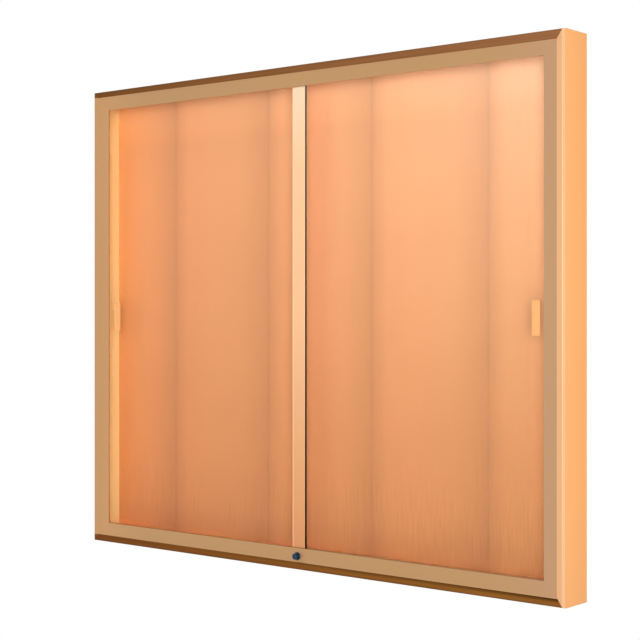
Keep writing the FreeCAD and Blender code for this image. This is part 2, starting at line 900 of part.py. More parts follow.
def lock_plug():
    """Key plug in the front of the plunger, with its key slot."""
    y0 = plunger_front_y + plug_recess
    body = rod(plug_radius, meeting_x, y0, plunger_front_y + plug_length, lock_z)
    return body.cut(slab(key_slot_width, key_slot_height, y0, y0 + key_slot_depth, meeting_x, lock_z))


def all_nodes():
    """Every node of the case by name."""
    nodes = {}
    nodes.update(frame_bars())
    nodes.update(corner_keys())
    nodes.update(pinboard())
    nodes["back_screws"] = back_screws()
    nodes["hanger_plates"] = hanger_plates()
    nodes["hanger_rivets"] = hanger_rivets()
    nodes["lower_track"] = lower_track()
    nodes["upper_track"] = upper_track()
    nodes["lower_track_screws"] = track_screws(track_floor_z, -1)
    nodes["upper_track_screws"] = track_screws(track_ceiling_z, 1)
    nodes.update(door_nodes(-1, "left"))
    nodes.update(door_nodes(1, "right"))
    nodes["meeting_seal"] = meeting_seal()
    nodes["end_bumpers"] = end_bumpers()
    nodes["left_jamb_seal"] = jamb_seal(-1)
    nodes["right_jamb_seal"] = jamb_seal(1)
    nodes["lock_housing"] = lock_housing()
    nodes["lock_ring"] = lock_ring()
    nodes["lock_plunger"] = lock_plunger()
    nodes["lock_plug"] = lock_plug()
    return nodes


os.makedirs("parts", exist_ok=True)
for node_name, node_shape in all_nodes().items():
    node_shape.exportStep("parts/" + node_name + ".step")
    print(node_name, len(node_shape.Solids), node_shape.isValid(), round(node_shape.Volume))
print("travel of the left and right door", travel(-1), travel(1))
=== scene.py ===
import math

import bmesh
import bpy
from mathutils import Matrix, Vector


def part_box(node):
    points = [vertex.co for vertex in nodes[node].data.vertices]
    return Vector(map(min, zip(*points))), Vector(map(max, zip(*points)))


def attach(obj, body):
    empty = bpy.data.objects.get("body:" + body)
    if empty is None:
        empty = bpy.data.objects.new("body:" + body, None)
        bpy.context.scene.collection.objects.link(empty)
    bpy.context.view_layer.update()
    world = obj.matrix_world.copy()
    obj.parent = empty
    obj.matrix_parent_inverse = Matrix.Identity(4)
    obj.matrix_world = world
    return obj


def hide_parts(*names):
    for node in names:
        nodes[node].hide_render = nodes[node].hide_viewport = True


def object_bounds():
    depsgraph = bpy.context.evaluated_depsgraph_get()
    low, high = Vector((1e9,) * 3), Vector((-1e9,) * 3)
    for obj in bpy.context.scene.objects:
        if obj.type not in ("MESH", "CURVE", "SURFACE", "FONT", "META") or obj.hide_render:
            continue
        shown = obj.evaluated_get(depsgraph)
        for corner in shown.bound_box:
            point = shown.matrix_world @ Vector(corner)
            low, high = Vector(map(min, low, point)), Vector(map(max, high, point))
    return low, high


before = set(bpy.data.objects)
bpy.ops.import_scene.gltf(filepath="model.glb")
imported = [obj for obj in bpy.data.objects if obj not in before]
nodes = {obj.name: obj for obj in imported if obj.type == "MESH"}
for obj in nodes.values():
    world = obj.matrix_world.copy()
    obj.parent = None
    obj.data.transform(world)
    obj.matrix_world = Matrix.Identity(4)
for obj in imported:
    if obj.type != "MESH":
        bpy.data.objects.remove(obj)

cad_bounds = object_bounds()

# Camera
# It stands to the right of the case at half its height, level, and looks across the doors,
# 40 degrees off square, with a small shift that sets the horizon a little above the middle.

camera_place = (1.9069, -2.3095, 0.0126)
camera_turn = math.radians(39.691)
camera_lens = 83.53
camera_shift = -0.0143

camera_data = bpy.data.cameras.new("camera")
camera_data.lens = camera_lens
camera_data.shift_y = camera_shift
camera = bpy.data.objects.new("camera", camera_data)
camera.location = camera_place
camera.rotation_euler = (math.radians(90), 0, camera_turn)
bpy.context.scene.collection.objects.link(camera)
bpy.context.scene.camera = camera
bpy.context.scene.view_settings.view_transform = "Standard"

# Studio
# A white surround and a pale floor far under the case, with a large soft lamp in front on the right,
# beyond the camera, and a warm one beside the case's right side.
# Metal and glass show the same white as the camera sees.

surround_level = 0.78
floor_height = -1.45
floor_reach = 2.4


def add(tree, kind, **settings):
    """A new node in a tree, with its settings, and with its inputs by name or number from a dictionary."""
    made = tree.nodes.new(kind)
    values = settings.pop("inputs", {})
    for name, value in settings.items():
        setattr(made, name, value)
    for name, value in values.items():
        socket = made.inputs[name]
        if isinstance(value, bpy.types.NodeSocket):
            tree.links.new(value, socket)
        else:
            socket.default_value = value
    return made


def maths(tree, operation, first, second=0.0, third=0.0):
    """A math node's result, from values or sockets."""
    made = add(tree, "ShaderNodeMath", operation=operation, inputs={0: first, 1: second, 2: third})
    return made.outputs[0]


def white_for_sight(tree):
    """1 for rays that carry sight, as of the camera, a mirror or glass, and 0 for those that carry light."""
    path = add(tree, "ShaderNodeLightPath").outputs
    seen = maths(tree, "MAXIMUM", path["Is Camera Ray"], path["Is Glossy Ray"])
    return maths(tree, "MAXIMUM", seen, path["Is Transmission Ray"])


world = bpy.data.worlds.new("studio")
world.use_nodes = True
sky = world.node_tree
sky.nodes.clear()
level = maths(sky, "MULTIPLY_ADD", white_for_sight(sky), 1 - surround_level, surround_level)
surround = add(sky, "ShaderNodeBackground", inputs={"Color": (1, 1, 1, 1), "Strength": level})
add(sky, "ShaderNodeOutputWorld", inputs={"Surface": surround.outputs[0]})
bpy.context.scene.world = world

floor_material = bpy.data.materials.new("floor_pale")
floor_material.use_nodes = True
floor_shader = floor_material.node_tree.nodes["Principled BSDF"]
floor_shader.inputs["Base Color"].default_value = (0.86, 0.86, 0.85, 1)
floor_shader.inputs["Roughness"].default_value = 0.9
floor_mesh = bpy.data.meshes.new("floor")
floor_corners = [(-floor_reach, -floor_reach), (floor_reach, -floor_reach),
                 (floor_reach, floor_reach), (-floor_reach, floor_reach)]
floor_mesh.from_pydata([(x, y, floor_height) for x, y in floor_corners], [], [(0, 1, 2, 3)])
floor_mesh.materials.append(floor_material)
floor = bpy.data.objects.new("floor", floor_mesh)
bpy.context.scene.collection.objects.link(floor)


def area_lamp(name, place, target, size, power, colour):
    """A square soft lamp that faces a target."""
    data = bpy.data.lights.new(name, "AREA")
    data.size = size
    data.energy = power
    data.color = colour
    lamp = bpy.data.objects.new(name, data)
    lamp.location = place
    lamp.rotation_euler = (Vector(target) - Vector(place)).to_track_quat("-Z", "Y").to_euler()
    bpy.context.scene.collection.objects.link(lamp)


area_lamp("front_lamp", place=(2.75, -3.25, 0.1), target=(0.0, -0.04, 0.1),
          size=1.6, power=61.5, colour=(1.0, 0.95, 0.88))
area_lamp("side_lamp", place=(1.5, 1.4, 0.1), target=(0.6, -0.04, 0.0),
          size=2.2, power=17.0, colour=(1.0, 0.46, 0.05))

# Frame bars
# Four lengths of hollow aluminium extrusion, mitred at the corners and anodised a satin champagne gold.
# The top and bottom lips slope back to the flat under a painted dark brown reflection, which runs on round
# the left corners.

frame_roughness = 0.42
frame_metallic = 0.5
inner_wall_metallic = 0.15
tone_drift = 0.06
case_half_width, case_half_height = cad_bounds[1].x, cad_bounds[1].z
face_plane = -0.074
face_tolerance = 0.00005
lip_width = 0.0169
side_skin = 0.0004
wall_inset = 0.012
wall_tolerance = 0.0003
recess_start = 0.003
ridge_reach = 0.0036
ridge_top = 0.0045
shoulder_end = -0.0035
mitre_line = 0.00012
mitre_shade = 0.6

left_flat_tone = (203, 153, 104)
right_flat_tone = (191, 149, 110)
level_flat_tone = (190, 147, 100)
level_flat_tones = (
    (0.02, left_flat_tone), (0.13, level_flat_tone), (0.87, level_flat_tone), (0.98, right_flat_tone))
# Painted light: the outer sides are painted paler towards the front.
side_light_tones = ((0.0, (197, 149, 93)), (1.0, (208, 160, 107)))
left_lip_tone = (194, 148, 99)
# Painted highlight: the right lip is painted much paler than the left one.
right_lip_highlight_tone = (246, 188, 132)
# Painted highlight along the rounded ridge of the right upright.
ridge_highlight_tone = (218, 175, 138)
# Painted light: the walls inside the case are painted much paler than the flats.
inner_wall_light_tone = (246, 214, 151)

# The painted dark reflection on the top and bottom lips, its colour changing from left to right.
upper_lip_shade = ((0.0, (120, 75, 31)), (1.0, (162, 110, 70)))
lower_lip_shade = ((0.0, (119, 69, 25)), (1.0, (146, 94, 40)))
upper_reach_left = 0.0128
lower_reach = 0.0148
lip_streak_fineness = 330.0
lip_streak_depth = 0.7
# Painted shade across the top and bottom lips, darkest at the rim.
lip_shade_across = ((0.0, 0.58), (0.16, 0.82), (0.32, 0.98), (0.65, 1.0), (0.85, 0.97), (1.0, 0.92))
# Painted shade towards the crease of the bottom lip, strongest at the right.
lower_crease_shade = ((0.0, 0.1), (0.25, 0.0), (0.55, 0.0), (0.8, 0.6), (1.0, 0.72))


def tone(red, green, blue):
    """A colour given on the usual scale of 0 to 255, as the linear values that shaders take."""
    linear = [((c / 255 + 0.055) / 1.055) ** 2.4 if c > 10 else c / 255 / 12.92 for c in (red, green, blue)]
    return (*linear, 1.0)


def group_tree(name, inputs, outputs):
    """An empty shader group with named inputs and outputs, and its two end nodes."""
    tree = bpy.data.node_groups.new(name, "ShaderNodeTree")
    for label, kind, value in inputs:
        socket = tree.interface.new_socket(label, in_out="INPUT", socket_type=kind)
        socket.default_value = value
    for label, kind in outputs:
        tree.interface.new_socket(label, in_out="OUTPUT", socket_type=kind)
    return tree, tree.nodes.new("NodeGroupInput"), tree.nodes.new("NodeGroupOutput")


def die_lines_group():
    """Fine lines left by the extrusion die, along local Z, with broad faint changes of tone."""
    tree, start, end = group_tree(
        "die_lines",
        [("Vector", "NodeSocketVector", (0, 0, 0)), ("Fineness", "NodeSocketFloat", 900.0),
         ("Stretch", "NodeSocketFloat", 0.012), ("Depth", "NodeSocketFloat", 0.05)],
        [("Shade", "NodeSocketFloat"), ("Height", "NodeSocketFloat")],
    )
    squeeze = add(tree, "ShaderNodeCombineXYZ", inputs={0: 1.0, 1: 1.0, 2: start.outputs["Stretch"]})
    along = add(tree, "ShaderNodeVectorMath", operation="MULTIPLY",
                inputs={0: start.outputs["Vector"], 1: squeeze.outputs[0]})
    lines = add(tree, "ShaderNodeTexNoise", inputs={
        "Vector": along.outputs[0], "Scale": start.outputs["Fineness"], "Detail": 3.0, "Roughness": 0.6})
    broad = add(tree, "ShaderNodeTexNoise", inputs={
        "Vector": start.outputs["Vector"], "Scale": 3.0, "Detail": 2.0})
    off_middle = maths(tree, "SUBTRACT", lines.outputs[0], 0.5)
    fine_part = maths(tree, "MULTIPLY_ADD", off_middle, start.outputs["Depth"], 1.0)
    broad_part = maths(tree, "MULTIPLY_ADD", broad.outputs[0], tone_drift, 1 - tone_drift / 2)
    tree.links.new(maths(tree, "MULTIPLY", fine_part, broad_part), end.inputs["Shade"])
    tree.links.new(lines.outputs[0], end.inputs["Height"])
    return tree


die_lines = die_lines_group()


def new_material(name):
    """A material with its tree and its Principled shader."""
    material = bpy.data.materials.new(name)
    material.use_nodes = True
    return material, material.node_tree, material.node_tree.nodes["Principled BSDF"]


def scaled_colour(tree, colour, shade):
    """A colour, or a colour socket, times a shade."""
    made = add(tree, "ShaderNodeVectorMath", operation="SCALE")
    if isinstance(colour, bpy.types.NodeSocket):
        tree.links.new(colour, made.inputs[0])
    else:
        made.inputs[0].default_value = colour[:3]
    tree.links.new(shade, made.inputs["Scale"])
    return made.outputs[0]


def mixed(tree, share, first, second):
    """Two colours mixed by a share from 0 to 1."""
    return add(tree, "ShaderNodeMix", data_type="RGBA", inputs={0: share, 6: first, 7: second}).outputs[2]


def object_place(tree):
    """The point's place in the case's own frame: the vector, and its three parts."""
    place = add(tree, "ShaderNodeTexCoord").outputs["Object"]
    parts = add(tree, "ShaderNodeSeparateXYZ", inputs={0: place}).outputs
    return place, parts["X"], parts["Y"], parts["Z"]


def share_along(tree, place, half_length):
    """How far a place lies along a length whose middle is at 0, from 0 to 1."""
    return maths(tree, "MULTIPLY_ADD", place, 0.5 / half_length, 0.5)


def ramp(tree, share, stops):
    """A colour that changes along a share from 0 to 1, from pairs of a position and a linear colour."""
    made = add(tree, "ShaderNodeValToRGB", inputs={0: share})
    elements = made.color_ramp.elements
    while len(elements) < len(stops):
        elements.new(0.5)
    for element, (position, colour) in zip(elements, stops):
        element.position = position
        element.color = colour
    return made.outputs[0]


def tones(*stops):
    """Ramp stops from pairs of a position and a colour on the usual scale."""
    return [(position, tone(*colour)) for position, colour in stops]


def greys(*stops):
    """Ramp stops from pairs of a position and a plain value."""
    return [(position, (value, value, value, 1)) for position, value in stops]


def anodised(name, turn, roughness, colour=None, fineness=900.0, depth=0.05, metallic=1.0):
    """Satin anodised aluminium, whose length the turn brings onto Z. With no colour, the caller links one.
    Returns the material, its tree and shader, the parts of the point's place, and the die lines."""
    material, tree, shader = new_material(name)
    place, *parts = object_place(tree)
    turned = add(tree, "ShaderNodeMapping", inputs={"Vector": place, "Rotation": turn})
    lines = add(tree, "ShaderNodeGroup", node_tree=die_lines, inputs={
        "Vector": turned.outputs[0], "Fineness": fineness, "Depth": depth})
    if colour:
        tree.links.new(scaled_colour(tree, colour, lines.outputs["Shade"]), shader.inputs["Base Color"])
    relief = add(tree, "ShaderNodeBump", inputs={
        "Height": lines.outputs["Height"], "Strength": 0.3, "Distance": 0.00002})
    tree.links.new(relief.outputs[0], shader.inputs["Normal"])
    shader.inputs["Metallic"].default_value = metallic
    shader.inputs["Roughness"].default_value = roughness
    return material, tree, shader, parts, lines


def dress(material, *names):
    """Gives CAD nodes one material."""
    for name in names:
        mesh = nodes[name].data
        mesh.materials.clear()
        mesh.materials.append(material)


def shaded_lip(tree, along, up, level_gap):
    """Where the top and bottom lips carry the painted dark reflection, and its colour. It stops short of the
    inner crease, is painted darker at the rim as painted shade, and takes painted shade towards the crease at
    the lower right."""
    at_top = maths(tree, "GREATER_THAN", up, 0.0)
    upper, lower = [ramp(tree, along, tones(*stops)) for stops in (upper_lip_shade, lower_lip_shade)]
    upper_reach = maths(tree, "MULTIPLY_ADD", along, lip_width - upper_reach_left, upper_reach_left)
    extra = maths(tree, "MULTIPLY", at_top, maths(tree, "SUBTRACT", upper_reach, lower_reach))
    reach = maths(tree, "ADD", extra, lower_reach)
    over = maths(tree, "DIVIDE", level_gap, reach)
    # Painted shade across the lips.
    shaded_across = ramp(tree, over, greys(*lip_shade_across))
    crease = ramp(tree, over, greys(*lower_crease_shade))
    at_bottom = maths(tree, "SUBTRACT", 1.0, at_top)
    # Painted shade towards the crease, at the lower right only.
    lower_right = maths(tree, "MULTIPLY", at_bottom, maths(tree, "MULTIPLY", along, along))
    kept = maths(tree, "SUBTRACT", 1.0, maths(tree, "MULTIPLY", crease, lower_right))
    colour = scaled_colour(tree, mixed(tree, at_top, lower, upper), maths(tree, "MULTIPLY", shaded_across, kept))
    return maths(tree, "LESS_THAN", level_gap, reach), colour


def frame_gold(name, turn, level):
    """The finish of the level bars or the uprights: flats and lips in their own tones, a painted dark
    reflection on the top and bottom lips and the left corners, painted highlights on the right lip and ridge,
    outer sides painted paler towards the front as painted light, painted light on the walls inside the case,
    and a hairline where the mitres meet."""
    material, tree, shader, (across, depth_at, up), lines = anodised(
        name, turn, frame_roughness, metallic=frame_metallic)
    side_gap = maths(tree, "SUBTRACT", case_half_width, maths(tree, "ABSOLUTE", across))
    level_gap = maths(tree, "SUBTRACT", case_half_height, maths(tree, "ABSOLUTE", up))
    along = share_along(tree, across, case_half_width)
    in_front = maths(tree, "LESS_THAN", depth_at, face_plane - face_tolerance)
    in_lip_shade, lip_shade_colour = shaded_lip(tree, along, up, level_gap)
    metal = frame_metallic
    streaks = lines.outputs["Shade"]
    if level:
        # On the level bars the lips carry the painted dark reflection.
        on_lip = maths(tree, "MULTIPLY", in_lip_shade, in_front)
        colour = mixed(tree, on_lip, ramp(tree, along, tones(*level_flat_tones)), lip_shade_colour)
        metal = maths(tree, "MULTIPLY_ADD", on_lip, 1 - frame_metallic, frame_metallic)
        turned = lines.inputs["Vector"].links[0].from_socket
        drawn = add(tree, "ShaderNodeGroup", node_tree=die_lines, inputs={
            "Vector": turned, "Fineness": lip_streak_fineness, "Depth": lip_streak_depth})
        deeper = maths(tree, "SUBTRACT", drawn.outputs["Shade"], streaks)
        streaks = maths(tree, "MULTIPLY_ADD", on_lip, deeper, streaks)
    else:
        on_right = maths(tree, "GREATER_THAN", across, 0.0)
        on_lip = maths(tree, "MULTIPLY", maths(tree, "LESS_THAN", side_gap, lip_width), in_front)
        # On the uprights the painted dark reflection runs on round the left corners.
        left_lip = mixed(tree, in_lip_shade, tone(*left_lip_tone), lip_shade_colour)
        # The right lip carries a painted highlight.
        lips = mixed(tree, on_right, left_lip, tone(*right_lip_highlight_tone))
        flats = mixed(tree, on_right, tone(*left_flat_tone), tone(*right_flat_tone))
        # Painted light on the outer sides, paler towards the front.
        outer = maths(tree, "LESS_THAN", side_gap, side_skin)
        sides = ramp(tree, maths(tree, "DIVIDE", depth_at, face_plane), tones(*side_light_tones))
        colour = mixed(tree, on_lip, mixed(tree, outer, flats, sides), lips)
        # Painted highlight on the ridge of the right upright.
        rounded = maths(tree, "LESS_THAN", side_gap, ridge_reach)
        onto_side = add(tree, "ShaderNodeMapRange", inputs={
            "Value": depth_at, "From Min": face_plane - ridge_top, "From Max": face_plane - shoulder_end,
            "To Min": 1.0, "To Max": 0.0})
        on_ridge_highlight = maths(tree, "MULTIPLY", maths(tree, "MULTIPLY", rounded, on_right), onto_side.outputs[0])
        colour = mixed(tree, on_ridge_highlight, colour, tone(*ridge_highlight_tone))
    # Painted light on the walls inside the case.
    nearest = maths(tree, "MINIMUM", side_gap, level_gap)
    inside = maths(tree, "GREATER_THAN", nearest, wall_inset - wall_tolerance)
    behind = maths(tree, "GREATER_THAN", depth_at, face_plane + recess_start)
    in_recess = maths(tree, "MULTIPLY", inside, behind)
    colour = mixed(tree, in_recess, colour, tone(*inner_wall_light_tone))
    less = inner_wall_metallic - frame_metallic
    tree.links.new(maths(tree, "MULTIPLY_ADD", in_recess, less, metal), shader.inputs["Metallic"])
    off_mitre = maths(tree, "ABSOLUTE", maths(tree, "SUBTRACT", side_gap, level_gap))
    off_joint = maths(tree, "GREATER_THAN", off_mitre, mitre_line)
    joint_shade = maths(tree, "MULTIPLY_ADD", off_joint, 1 - mitre_shade, mitre_shade)
    shade = maths(tree, "MULTIPLY", streaks, joint_shade)
    tree.links.new(scaled_colour(tree, colour, shade), shader.inputs["Base Color"])
    return material


along_x = (0, math.radians(90), 0)
along_z = (0, 0, 0)
dress(frame_gold("frame_gold_upright", along_z, level=False), "frame_left", "frame_right")
dress(frame_gold("frame_gold_level", along_x, level=True), "frame_top", "frame_bottom")

# Corner keys
# Four cast aluminium angles join the bars at the corners. Their arms fill the bars' closed chambers
# and are crimped there, so nothing of them shows.

key_tone = (176, 176, 178)


def fine_grain_group():
    """A fine even grain over a broad faint mottle, for moulded, cast and plated pieces."""
    tree, start, end = group_tree(
        "fine_grain",
        [("Vector", "NodeSocketVector", (0, 0, 0)), ("Fineness", "NodeSocketFloat", 1500.0),
         ("Depth", "NodeSocketFloat", 0.1), ("Mottle", "NodeSocketFloat", 40.0)],
        [("Shade", "NodeSocketFloat"), ("Height", "NodeSocketFloat")],
    )
    grain = add(tree, "ShaderNodeTexNoise", inputs={
        "Vector": start.outputs["Vector"], "Scale": start.outputs["Fineness"], "Detail": 4.0})
    mottle = add(tree, "ShaderNodeTexNoise", inputs={
        "Vector": start.outputs["Vector"], "Scale": start.outputs["Mottle"], "Detail": 2.0})
    both = maths(tree, "ADD", grain.outputs[0], mottle.outputs[0])
    shade = maths(tree, "MULTIPLY_ADD", maths(tree, "SUBTRACT", both, 1.0), start.outputs["Depth"], 1.0)
    tree.links.new(shade, end.inputs["Shade"])
    tree.links.new(grain.outputs[0], end.inputs["Height"])
    return tree


fine_grain = fine_grain_group()


def grained(name, colour, roughness, metallic=0.0, fineness=1500.0, depth=0.15, mottle=40.0, bump=0.00003):
    """A finish with a fine grain and a faint mottle, for plain moulded, cast, plated or pressed pieces."""
    material, tree, shader = new_material(name)
    grain = add(tree, "ShaderNodeGroup", node_tree=fine_grain, inputs={
        "Vector": object_place(tree)[0], "Fineness": fineness, "Depth": depth, "Mottle": mottle})
    tree.links.new(scaled_colour(tree, colour, grain.outputs["Shade"]), shader.inputs["Base Color"])
    relief = add(tree, "ShaderNodeBump", inputs={
        "Height": grain.outputs["Height"], "Strength": 0.4, "Distance": bump})
    tree.links.new(relief.outputs[0], shader.inputs["Normal"])
    shader.inputs["Metallic"].default_value = metallic
    shader.inputs["Roughness"].default_value = roughness
    return material


cast_metal = grained("cast_aluminium", tone(*key_tone), 0.5, metallic=1.0, fineness=700.0, bump=0.00008)
dress(cast_metal, "corner_key_top_left", "corner_key_top_right",
      "corner_key_bottom_left", "corner_key_bottom_right")

# Fabric facing
# A tan woven cloth, stretched over the core and glued down, with four soft upright tucks and a slight
# belly between them. Its colour holds painted shade beside the tucks and towards the bottom, a painted warm
# glow towards the left, and painted light at the upper right, by the front stile and the right jamb, and
# along its top and bottom edges.

tuck_step = 0.27
first_tuck = 0.134
belly = 0.0012
belly_at_tuck = 0.25
clamped_edge = 0.006
edge_rise = 0.03
right_of_tuck = 0.12
left_of_tuck = 0.3
cloth_columns, cloth_rows = 220, 60
fabric_low, fabric_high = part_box("pinboard_fabric")

fabric_tone = (236, 158, 107)
# Painted light: the upper right of the cloth is painted paler and pinker.
lit_corner_tone = (254, 187, 145)
base_shade = 1.287
lit_corner_lift = 0.189
tuck_shade = 0.75
blotch_depth = 0.08
end_light_lift = 0.55
# Painted shade beside each tuck.
tuck_shade_along = (
    (0.0, 0.0), (0.012, 0.25), (0.05, 0.53), (0.14, 0.93), (0.4, 1.0), (0.72, 0.83), (0.9, 0.45),
    (0.985, 0.22), (1.0, 0.0))
# Painted shade up the cloth: darkest at the bottom, with painted light along the top.
painted_shade_up = (
    (0.0, (0.70, 0.61, 0.45, 1)), (0.17, (0.81, 0.74, 0.61, 1)), (0.5, (0.91, 0.90, 0.84, 1)),
    (0.8, (0.98, 0.99, 0.98, 1)), (0.9, (0.98, 1.0, 1.0, 1)), (1.0, (0.93, 1.1, 1.25, 1)))
# Painted light and shade across the cloth: a warm painted glow at the left, painted light beside the front
# stile and the right jamb.
painted_light_across = (
    (0.0, (0.90, 0.92, 0.69, 1)), (0.03, (0.89, 0.82, 0.65, 1)), (0.065, (0.81, 0.73, 0.62, 1)),
    (0.09, (0.77, 0.71, 0.63, 1)), (0.18, (0.70, 0.67, 0.645, 1)), (0.25, (0.683, 0.683, 0.683, 1)),
    (0.44, (0.683, 0.683, 0.683, 1)), (0.5, (0.73, 0.745, 0.76, 1)), (0.64, (0.665, 0.68, 0.69, 1)),
    (0.915, (0.625, 0.67, 0.70, 1)), (0.94, (0.76, 0.80, 0.82, 1)), (1.0, (0.61, 0.66, 0.69, 1)))
# Painted light along the top and bottom edges of the cloth.
painted_light_at_ends = ((0.022, 1.0), (0.03, 0.6), (0.038, 0.22), (0.06, 0.0), (0.88, 0.0), (0.98, 0.5))
thread_depth = ((0.0, 0.36), (0.11, 0.32), (0.22, 0.16), (0.35, 0.08), (1.0, 0.1))
blotch_scale = 5.0
warp_scale, warp_stretch = 320.0, 0.05
weft_scale, weft_stretch = 900.0, 0.15
weft_share = 0.3
mean_weave = (1 + weft_share) / 2


def belly_at(x, z):
    """How far the cloth stands forward: nothing at the clamped edges and least at the tucks."""
    edge = min(fabric_high.x - abs(x), fabric_high.z - abs(z)) - clamped_edge
    rise = max(0.0, min(1.0, edge / edge_rise))
    share = (x - first_tuck) / tuck_step % 1.0
    fullness = min(1.0, share / right_of_tuck) * min(1.0, (1 - share) / left_of_tuck)
    forward = belly_at_tuck + (1 - belly_at_tuck) * math.sin(fullness * math.pi / 2)
    return belly * forward * math.sin(rise * math.pi / 2)


cloth = bmesh.new()
front_rows = []
for row in range(cloth_rows + 1):
    z = fabric_low.z + (fabric_high.z - fabric_low.z) * row / cloth_rows
    line = []
    for column in range(cloth_columns + 1):
        x = fabric_low.x + (fabric_high.x - fabric_low.x) * column / cloth_columns
        line.append(cloth.verts.new((x, fabric_low.y - belly_at(x, z), z)))
    front_rows.append(line)
for lower, upper in zip(front_rows, front_rows[1:]):
    for column in range(cloth_columns):
        cloth.faces.new((lower[column], lower[column + 1], upper[column + 1], upper[column]))
back_corners = [cloth.verts.new((x, fabric_high.y, z)) for x, z in (
    (fabric_low.x, fabric_low.z), (fabric_high.x, fabric_low.z),
    (fabric_high.x, fabric_high.z), (fabric_low.x, fabric_high.z))]
cloth.faces.new(back_corners[::-1])
edges = [
    front_rows[0],
    [row[-1] for row in front_rows],
    front_rows[-1][::-1],
    [row[0] for row in front_rows][::-1],
]
for index, edge in enumerate(edges):
    cloth.faces.new([back_corners[index], back_corners[(index + 1) % 4]] + edge[::-1])
bmesh.ops.recalc_face_normals(cloth, faces=cloth.faces)
cloth_mesh = bpy.data.meshes.new("fabric_facing")
cloth.to_mesh(cloth_mesh)
cloth.free()
cloth_mesh.shade_smooth()

fabric, tree, shader = new_material("board_fabric")
place, across, depth_at, up = object_place(tree)
share = maths(tree, "FRACT", maths(tree, "DIVIDE", maths(tree, "SUBTRACT", across, first_tuck), tuck_step))
rise = share_along(tree, up, fabric_high.z)
across_share = share_along(tree, across, fabric_high.x)
blotch = add(tree, "ShaderNodeTexNoise", inputs={"Vector": place, "Scale": blotch_scale, "Detail": 3.0})
warp_place = add(tree, "ShaderNodeMapping", inputs={"Vector": place, "Scale": (1.0, 1.0, warp_stretch)})
warp = add(tree, "ShaderNodeTexNoise", inputs={
    "Vector": warp_place.outputs[0], "Scale": warp_scale, "Detail": 2.0})
weft_place = add(tree, "ShaderNodeMapping", inputs={"Vector": place, "Scale": (weft_stretch, 1.0, 1.0)})
weft = add(tree, "ShaderNodeTexNoise", inputs={
    "Vector": weft_place.outputs[0], "Scale": weft_scale, "Detail": 2.0})
weave = maths(tree, "MULTIPLY_ADD", weft.outputs[0], weft_share, warp.outputs[0])
uneven = maths(tree, "SUBTRACT", weave, mean_weave)
upper_right = maths(tree, "MULTIPLY", across_share, rise)
# Painted shade beside the tucks, painted light at the upper right and along the top and bottom edges, a
# random blotch and the weave.
factors = (
    maths(tree, "MULTIPLY_ADD", ramp(tree, share, greys(*tuck_shade_along)), 1 - tuck_shade, tuck_shade),
    maths(tree, "MULTIPLY_ADD", upper_right, lit_corner_lift, base_shade),
    maths(tree, "MULTIPLY_ADD", blotch.outputs[0], blotch_depth, 1 - blotch_depth / 2),
    maths(tree, "MULTIPLY_ADD", uneven, ramp(tree, rise, greys(*thread_depth)), 1.0),
    maths(tree, "MULTIPLY_ADD", ramp(tree, rise, greys(*painted_light_at_ends)), end_light_lift, 1.0),
)
shade = 1.0
for factor in factors:
    shade = maths(tree, "MULTIPLY", shade, factor)
# Painted light at the upper right of the cloth.
lit_corner = maths(tree, "MULTIPLY", upper_right, upper_right)
corner_lit_colour = mixed(tree, lit_corner, tone(*fabric_tone), tone(*lit_corner_tone))
# The cloth's colour with its painted light and shade.
painted_cloth = scaled_colour(tree, corner_lit_colour, shade)
# Painted shade up the cloth, and painted light and shade across it.
for tint in (ramp(tree, rise, painted_shade_up), ramp(tree, across_share, painted_light_across)):
    painted_cloth = add(tree, "ShaderNodeVectorMath", operation="MULTIPLY", inputs={0: painted_cloth, 1: tint}).outputs[0]
tree.links.new(painted_cloth, shader.inputs["Base Color"])
shader.inputs["Roughness"].default_value = 0.9
shader.inputs["Sheen Weight"].default_value = 0.15
shader.inputs["Sheen Roughness"].default_value = 0.5
relief = add(tree, "ShaderNodeBump", inputs={"Height": weave, "Strength": 0.25, "Distance": 0.0002})
tree.links.new(relief.outputs[0], shader.inputs["Normal"])


def placed(name, mesh, material, body, slot, *replaced):
    """A piece made from a mesh, in its material: it rides on a body and may stand for CAD nodes."""
    mesh.materials.clear()
    mesh.materials.append(material)
    piece = bpy.data.objects.new(name, mesh)
    bpy.context.scene.collection.objects.link(piece)
    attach(piece, body)
    if replaced:
        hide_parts(*replaced)
    return piece


facing = placed("fabric_facing", cloth_mesh, fabric, "case", "board_fabric", "pinboard_fabric")

# Core and back sheet
# Soft fibreboard behind the fabric takes the pins. A sheet of smooth brown hardboard, screwed to the
# frame, closes the back. It shows a fine pressed grain and is paler at its cut edges.

back_face_line = -0.0003
board_edge_tone = (146, 108, 72)
board_face_tone = (104, 70, 45)

fibre = grained("soft_fibreboard", tone(170, 138, 98), 0.95, fineness=500.0, depth=0.35, bump=0.0003)
dress(fibre, "pinboard_core")

hardboard, tree, shader = new_material("smooth_hardboard")
place, across, depth_at, up = object_place(tree)
grain = add(tree, "ShaderNodeGroup", node_tree=fine_grain, inputs={
    "Vector": place, "Fineness": 420.0, "Depth": 0.25, "Mottle": 9.0})
on_face = maths(tree, "GREATER_THAN", depth_at, back_face_line)
board_tones = mixed(tree, on_face, tone(*board_edge_tone), tone(*board_face_tone))
tree.links.new(scaled_colour(tree, board_tones, grain.outputs["Shade"]), shader.inputs["Base Color"])
relief = add(tree, "ShaderNodeBump", inputs={
    "Height": grain.outputs["Height"], "Strength": 0.3, "Distance": 0.0001})
tree.links.new(relief.outputs[0], shader.inputs["Normal"])
shader.inputs["Roughness"].default_value = 0.55
dress(hardboard, "back_sheet")

# Back screws
# Eight countersunk cross-recess screws, zinc plated, sit flush in the hardboard.
# They pull it against the frame's rear web.

